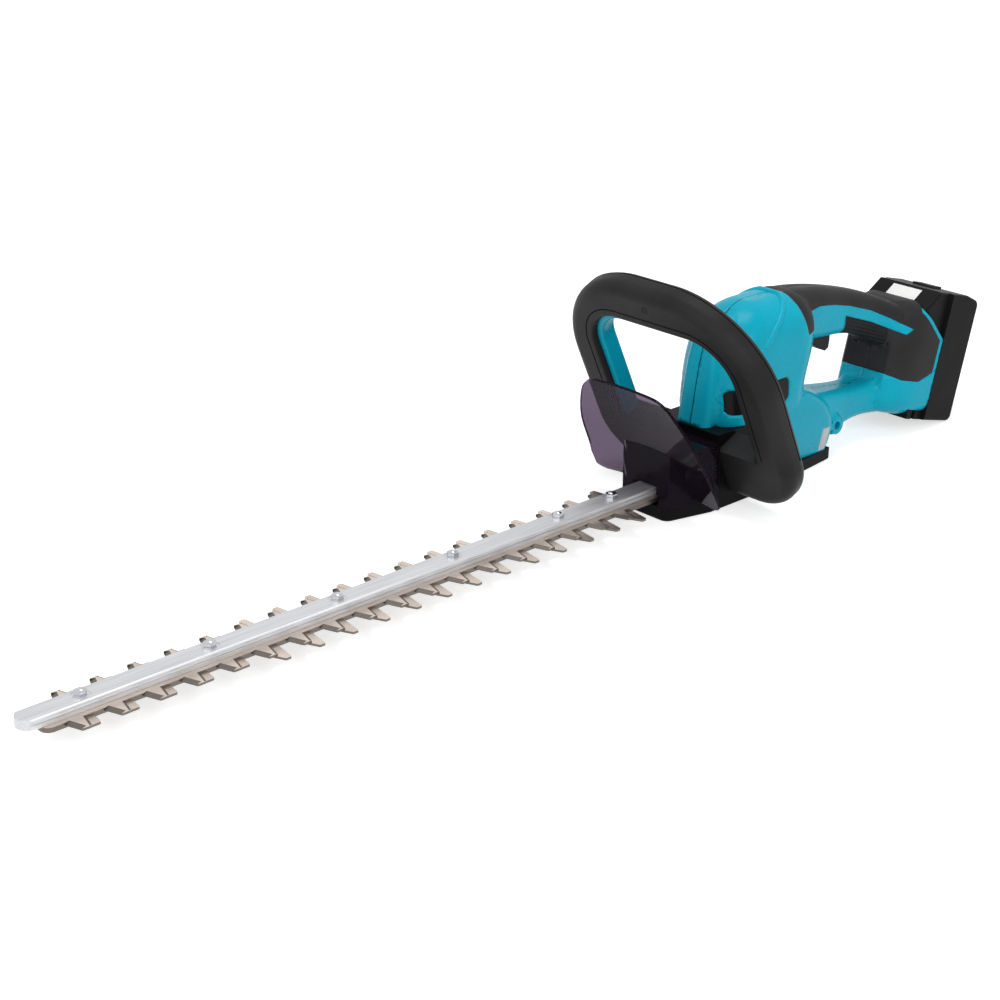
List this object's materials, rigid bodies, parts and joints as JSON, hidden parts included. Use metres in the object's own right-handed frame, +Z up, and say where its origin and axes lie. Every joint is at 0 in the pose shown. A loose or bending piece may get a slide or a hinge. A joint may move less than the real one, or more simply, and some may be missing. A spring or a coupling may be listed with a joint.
{
  "type": "cordless hedge trimmer",
  "caption": "Cordless hedge trimmer with a double-sided reciprocating blade, front loop handle, see-through guard and slide-on battery pack.",
  "frame": {"origin": "middle of the tool's length and width, on the surface it rests on", "axes": "+X from the blade tip to the battery, +Z up, -Y the operator's left side"},
  "size_m": [0.9316, 0.206, 0.1905],
  "materials": {
    "teal_plastic": "satin moulded plastic",
    "charcoal_plastic": "fine-textured moulded plastic",
    "soft_black": "soft matt overmould",
    "gloss_black": "gloss moulded plastic",
    "tinted_guard": "smoke-purple see-through plastic",
    "bar_aluminium": "drawn satin aluminium",
    "blade_steel": "nickel-plated ground steel",
    "zinc_steel": "bright zinc plating",
    "machined_steel": "machined steel",
    "screw_steel": "black oxide screw steel",
    "magnet_iron": "sintered magnet and laminated iron",
    "sintered_bronze": "oil-filled sintered bronze",
    "silver_label": "bare silver foil plate",
    "white_label": "blank white film",
    "board_green": "coated circuit board",
    "copper_alloy": "plated copper contacts",
    "cell_steel": "shrink-wrapped steel cell"
  },
  "bodies": {
    "frame": {"guide_bar": "bar_aluminium", "blade_bolts": "zinc_steel", "cap_nuts": "zinc_steel", "crank_bearing": "machined_steel", "crank_bush": "sintered_bronze", "motor_bearings": "machined_steel", "gear_case": "charcoal_plastic", "under_cover": "charcoal_plastic", "cover_screws": "screw_steel", "blade_guard": "tinted_guard", "guard_screws": "screw_steel", "base_screws": "screw_steel", "motor_can": "machined_steel", "stator_magnets": "magnet_iron", "housing_left": "teal_plastic", "housing_right": "teal_plastic", "grip_left": "soft_black", "grip_right": "soft_black", "grip_insert": "soft_black", "badge_left": "gloss_black", "badge_right": "gloss_black", "rating_plate": "silver_label", "housing_screws": "screw_steel", "trigger_pin": "machined_steel", "trigger_switch": "charcoal_plastic", "trigger_spring": "machined_steel", "terminal_block": "charcoal_plastic", "control_board": "board_green", "handle_front_shell": "charcoal_plastic", "handle_rear_shell": "charcoal_plastic", "handle_base_left": "charcoal_plastic", "handle_base_right": "charcoal_plastic", "handle_screws": "screw_steel", "lever_switch": "charcoal_plastic", "lever_springs": "machined_steel"},
    "upper_blade": {"upper_blade": "blade_steel"},
    "lower_blade": {"lower_blade": "blade_steel"},
    "crank": {"crank_shaft": "machined_steel", "drive_gear": "machined_steel", "upper_cam": "machined_steel", "lower_cam": "machined_steel"},
    "rotor": {"motor_shaft": "machined_steel", "rotor_core": "magnet_iron", "pinion": "machined_steel", "cooling_fan": "charcoal_plastic"},
    "front_lever": {"front_lever": "teal_plastic"},
    "trigger": {"trigger": "charcoal_plastic"},
    "battery": {"battery_case": "gloss_black", "battery_lid": "gloss_black", "battery_cells": "cell_steel", "battery_contacts": "copper_alloy", "battery_label": "white_label", "button_spring": "machined_steel"},
    "battery_button": {"battery_button": "charcoal_plastic"}
  },
  "joints": [
    {"name": "upper_blade_slide", "type": "slide", "parent": "frame", "child": "upper_blade", "axis": [1, 0, 0], "range_m": [-0.007, 0.007]},
    {"name": "lower_blade_slide", "type": "slide", "parent": "frame", "child": "lower_blade", "axis": [1, 0, 0], "range_m": [-0.007, 0.007]},
    {"name": "crank_spin", "type": "hinge", "parent": "frame", "child": "crank", "pos_m": [0.1483, 0, 0.04], "axis": [0, 0, 1], "continuous": true},
    {"name": "rotor_spin", "type": "hinge", "parent": "frame", "child": "rotor", "pos_m": [0.1803, 0, 0.09], "axis": [0, 0, 1], "continuous": true},
    {"name": "front_lever_press", "type": "slide", "parent": "frame", "child": "front_lever", "axis": [-0.4147, 0, 0.91], "range_m": [0, 0.004], "stiffness_N_per_m": 1500, "springref_m": -0.002},
    {"name": "trigger_pivot", "type": "hinge", "parent": "frame", "child": "trigger", "pos_m": [0.2663, 0, 0.113], "axis": [0, -1, 0], "range_deg": [0, 7], "stiffness_Nm_per_rad": 2, "springref_deg": -2.86},
    {"name": "battery_slide", "type": "slide", "parent": "frame", "child": "battery", "axis": [0.2588, 0, 0.9659], "range_m": [0, 0.095]},
    {"name": "battery_button_press", "type": "slide", "parent": "battery", "child": "battery_button", "axis": [-0.2588, 0, -0.9659], "range_m": [0, 0.003], "stiffness_N_per_m": 1500, "springref_m": -0.002}
  ],
  "couplings": [
    {"joint": "lower_blade_slide", "follows": "upper_blade_slide", "ratio": -1},
    {"joint": "rotor_spin", "follows": "crank_spin", "ratio": -4.3333}
  ]
}
